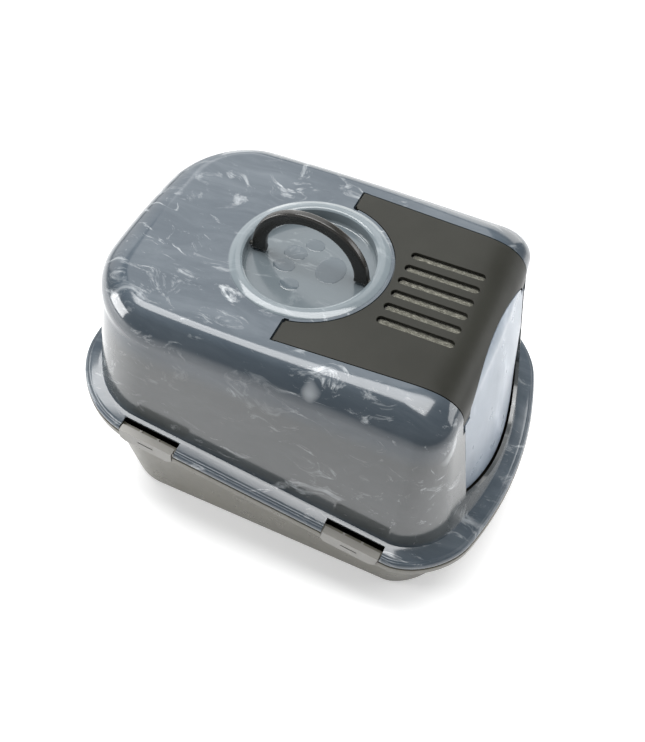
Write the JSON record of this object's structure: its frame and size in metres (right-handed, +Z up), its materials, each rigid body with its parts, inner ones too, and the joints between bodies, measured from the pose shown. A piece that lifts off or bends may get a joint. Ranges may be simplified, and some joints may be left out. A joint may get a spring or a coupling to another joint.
{
  "type": "hooded cat litter box",
  "caption": "Hooded litter box: deep pan, lift-off hood, hinged vented top cover with swing door, folding carry handle and side latches.",
  "frame": {"origin": "on the floor under the middle of the box", "axes": "+Z up, the entrance faces -Y, the length runs along Y and the width along X"},
  "size_m": [0.4404, 0.586, 0.4375],
  "materials": {
    "pan": "moulded warm grey-brown polypropylene, satin",
    "hood": "marbled blue-grey moulded plastic with pale streaks, glossy",
    "cover": "dark warm grey moulded plastic, fine satin grain",
    "door": "frosted pale blue-grey moulded plastic, glossy",
    "handle": "near-black warm moulded plastic, satin",
    "latch": "dark warm grey moulded plastic, satin",
    "filter": "needled charcoal filter felt",
    "pin": "plain dark moulded plastic"
  },
  "bodies": {
    "pan": {"litter_pan": "pan", "latch_pin_left_rear": "pin", "latch_pin_left_front": "pin", "latch_pin_right_rear": "pin", "latch_pin_right_front": "pin"},
    "hood": {"hood": "hood", "handle_pin_front": "pin", "handle_pin_rear": "pin", "cover_hinge_pin_left": "pin", "cover_hinge_pin_right": "pin"},
    "cover": {"front_cover": "cover", "filter_pad": "filter", "filter_frame": "cover", "door_pin_left": "pin", "door_pin_right": "pin"},
    "door": {"swing_door": "door"},
    "handle": {"carry_handle": "handle"},
    "latch_left_rear": {"latch_left_rear": "latch"},
    "latch_left_front": {"latch_left_front": "latch"},
    "latch_right_rear": {"latch_right_rear": "latch"},
    "latch_right_front": {"latch_right_front": "latch"}
  },
  "joints": [
    {"name": "hood_lift", "type": "slide", "parent": "pan", "child": "hood", "axis": [0, 0, 1], "range_m": [0, 0.15]},
    {"name": "cover_hinge", "type": "hinge", "parent": "hood", "child": "cover", "pos_m": [0, 0, 0.367], "axis": [-1, 0, 0], "range_deg": [0, 95]},
    {"name": "door_swing", "type": "hinge", "parent": "cover", "child": "door", "pos_m": [0, -0.21589, 0.312], "axis": [1, 0, 0], "range_deg": [-70, 70]},
    {"name": "handle_fold", "type": "hinge", "parent": "hood", "child": "handle", "pos_m": [0, 0.017, 0.3615], "axis": [0, 1, 0], "range_deg": [-90, 90]},
    {"name": "latch_left_rear_hinge", "type": "hinge", "parent": "pan", "child": "latch_left_rear", "pos_m": [-0.21675, 0.14858, 0.17026], "axis": [0, -0.9866, -0.1633], "range_deg": [0, 110]},
    {"name": "latch_left_front_hinge", "type": "hinge", "parent": "pan", "child": "latch_left_front", "pos_m": [-0.21675, -0.13442, 0.12342], "axis": [0, -0.9866, -0.1633], "range_deg": [0, 110]},
    {"name": "latch_right_rear_hinge", "type": "hinge", "parent": "pan", "child": "latch_right_rear", "pos_m": [0.21675, 0.14858, 0.17026], "axis": [0, 0.9866, 0.1633], "range_deg": [0, 110]},
    {"name": "latch_right_front_hinge", "type": "hinge", "parent": "pan", "child": "latch_right_front", "pos_m": [0.21675, -0.13442, 0.12342], "axis": [0, 0.9866, 0.1633], "range_deg": [0, 110]}
  ]
}
